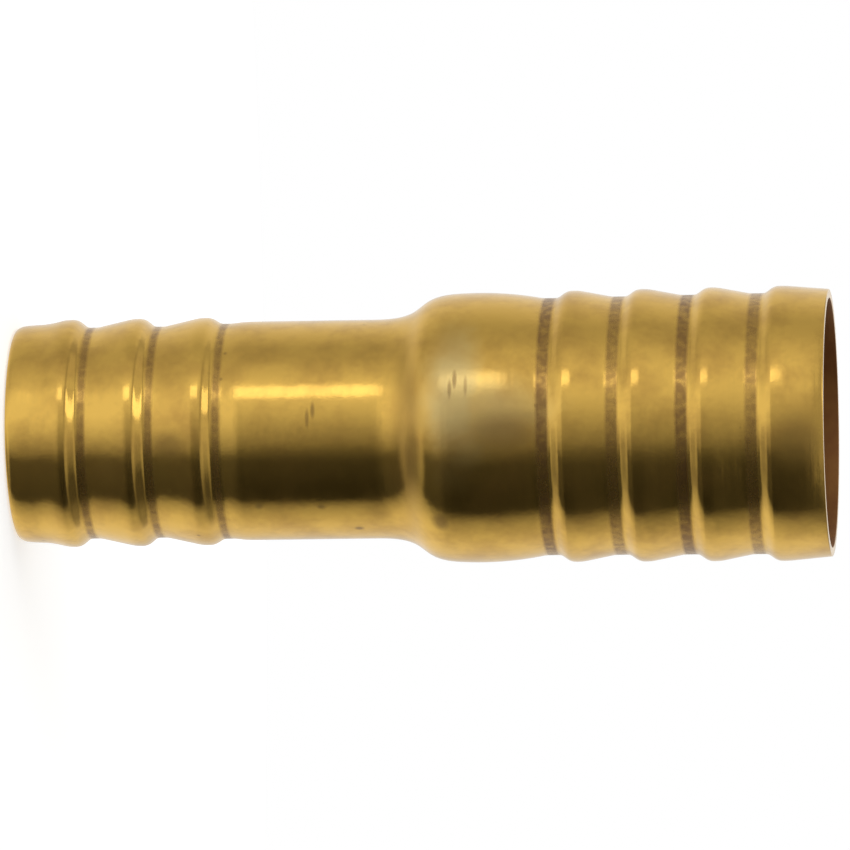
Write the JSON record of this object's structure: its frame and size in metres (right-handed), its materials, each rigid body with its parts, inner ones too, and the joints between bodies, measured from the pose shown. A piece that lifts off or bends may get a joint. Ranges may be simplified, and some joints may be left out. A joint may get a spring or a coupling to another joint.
{
  "type": "hose connector",
  "caption": "Straight brass reducing hose connector: a thin rolled tube with barbs at both ends and a swaged shoulder between a small and a large diameter.",
  "frame": {"origin": "centre of the small end's face, which the connector stands on", "axes": "+Z along the tube's axis from the small end to the large end; the tube is round, so +X and +Y are any two directions across it"},
  "size_m": [0.0198, 0.0198, 0.0592],
  "materials": {
    "brass_tube": "bright rolled brass, lightly tarnished, with brown dirt in the grooves and a reddish-brown bore"
  },
  "bodies": {
    "root": {"hose_connector": "brass_tube"}
  },
  "joints": []
}
